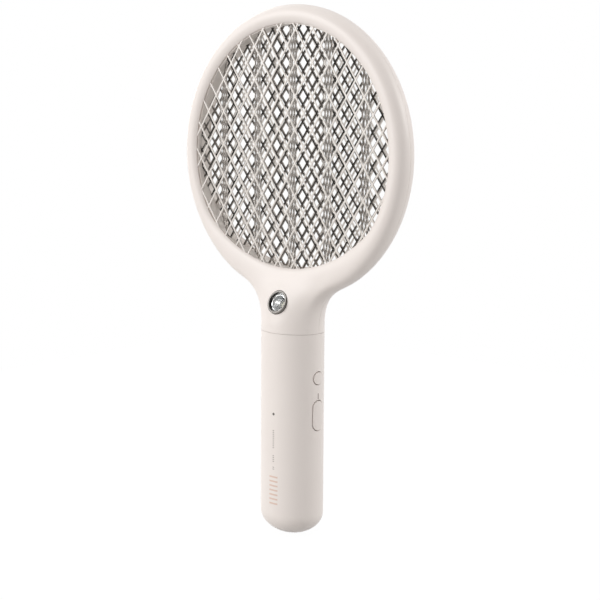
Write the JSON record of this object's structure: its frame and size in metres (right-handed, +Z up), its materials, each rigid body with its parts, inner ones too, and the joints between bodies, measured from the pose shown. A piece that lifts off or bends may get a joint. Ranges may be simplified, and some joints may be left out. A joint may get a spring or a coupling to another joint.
{
  "type": "electric fly swatter",
  "caption": "Handheld electric fly swatter: round ring head with diamond guards over a pleated steel grid, a neck light, and an oval handle with two side buttons.",
  "frame": {"origin": "lowest point of the domed handle end, on the handle axis", "axes": "+Z up the handle to the head, -Y out of the front with the light, +X out of the button side"},
  "size_m": [0.1632, 0.0324, 0.3],
  "materials": {
    "cream_abs": "satin moulded",
    "guard_enamel": "satin enamel on expanded steel",
    "grid_steel": "bare pleated expanded sheet",
    "carrier_nylon": "moulded",
    "bright_chrome": "polished",
    "clear_lens": "clear moulded",
    "mirror_plate": "metallised",
    "led_resin": "phosphor resin",
    "board_laminate": "glass-epoxy laminate",
    "screw_steel": "zinc plated",
    "button_abs": "satin moulded",
    "frame_abs": "moulded",
    "switch_body": "moulded",
    "plunger_pom": "moulded",
    "indicator_smoke": "smoked light pipe",
    "chassis_abs": "moulded",
    "cell_wrap": "shrink sleeve",
    "nickel_strip": "plain nickel",
    "ferrite": "sintered",
    "copper_winding": "enamelled wire, wound",
    "capacitor_epoxy": "dipped epoxy",
    "component_black": "moulded epoxy",
    "socket_steel": "drawn steel",
    "socket_tongue_black": "moulded",
    "wire_red": "insulated wire",
    "wire_black": "insulated wire",
    "wire_white": "insulated wire"
  },
  "bodies": {
    "housing": {"front_shell": "cream_abs", "rear_shell": "cream_abs", "front_guard": "guard_enamel", "rear_guard": "guard_enamel", "hv_grid": "grid_steel", "front_grid_carrier": "carrier_nylon", "rear_grid_carrier": "carrier_nylon", "light_bezel": "bright_chrome", "light_lens": "clear_lens", "light_reflector": "mirror_plate", "light_chip": "led_resin", "light_board": "board_laminate", "neck_screws": "screw_steel", "spigot_screw": "screw_steel", "board_screws": "screw_steel", "handle_tube": "cream_abs", "button_frame": "frame_abs", "light_switch": "switch_body", "zap_switch": "switch_body", "indicator_lens": "indicator_smoke", "indicator_chip": "led_resin", "chassis": "chassis_abs", "battery_cell": "cell_wrap", "battery_tabs": "nickel_strip", "main_board": "board_laminate", "transformer_core": "ferrite", "transformer_winding": "copper_winding", "high_voltage_capacitor": "capacitor_epoxy", "rectifier_diodes": "component_black", "power_transistor": "component_black", "controller_chip": "component_black", "charging_socket": "socket_steel", "socket_tongue": "socket_tongue_black", "charge_board": "board_laminate", "grid_lead": "wire_red", "guard_leads": "wire_black", "light_leads": "wire_white", "battery_lead_red": "wire_red", "battery_lead_black": "wire_black", "charge_lead": "wire_white"},
    "light_button_body": {"light_button": "button_abs", "light_switch_plunger": "plunger_pom"},
    "zap_button_body": {"zap_button": "button_abs", "zap_switch_plunger": "plunger_pom"}
  },
  "joints": [
    {"name": "light_button_press", "type": "slide", "parent": "housing", "child": "light_button_body", "axis": [-1, 0, 0], "range_m": [0, 0.0006], "stiffness_N_per_m": 1200},
    {"name": "zap_button_press", "type": "slide", "parent": "housing", "child": "zap_button_body", "axis": [-1, 0, 0], "range_m": [0, 0.0006], "stiffness_N_per_m": 1200}
  ]
}
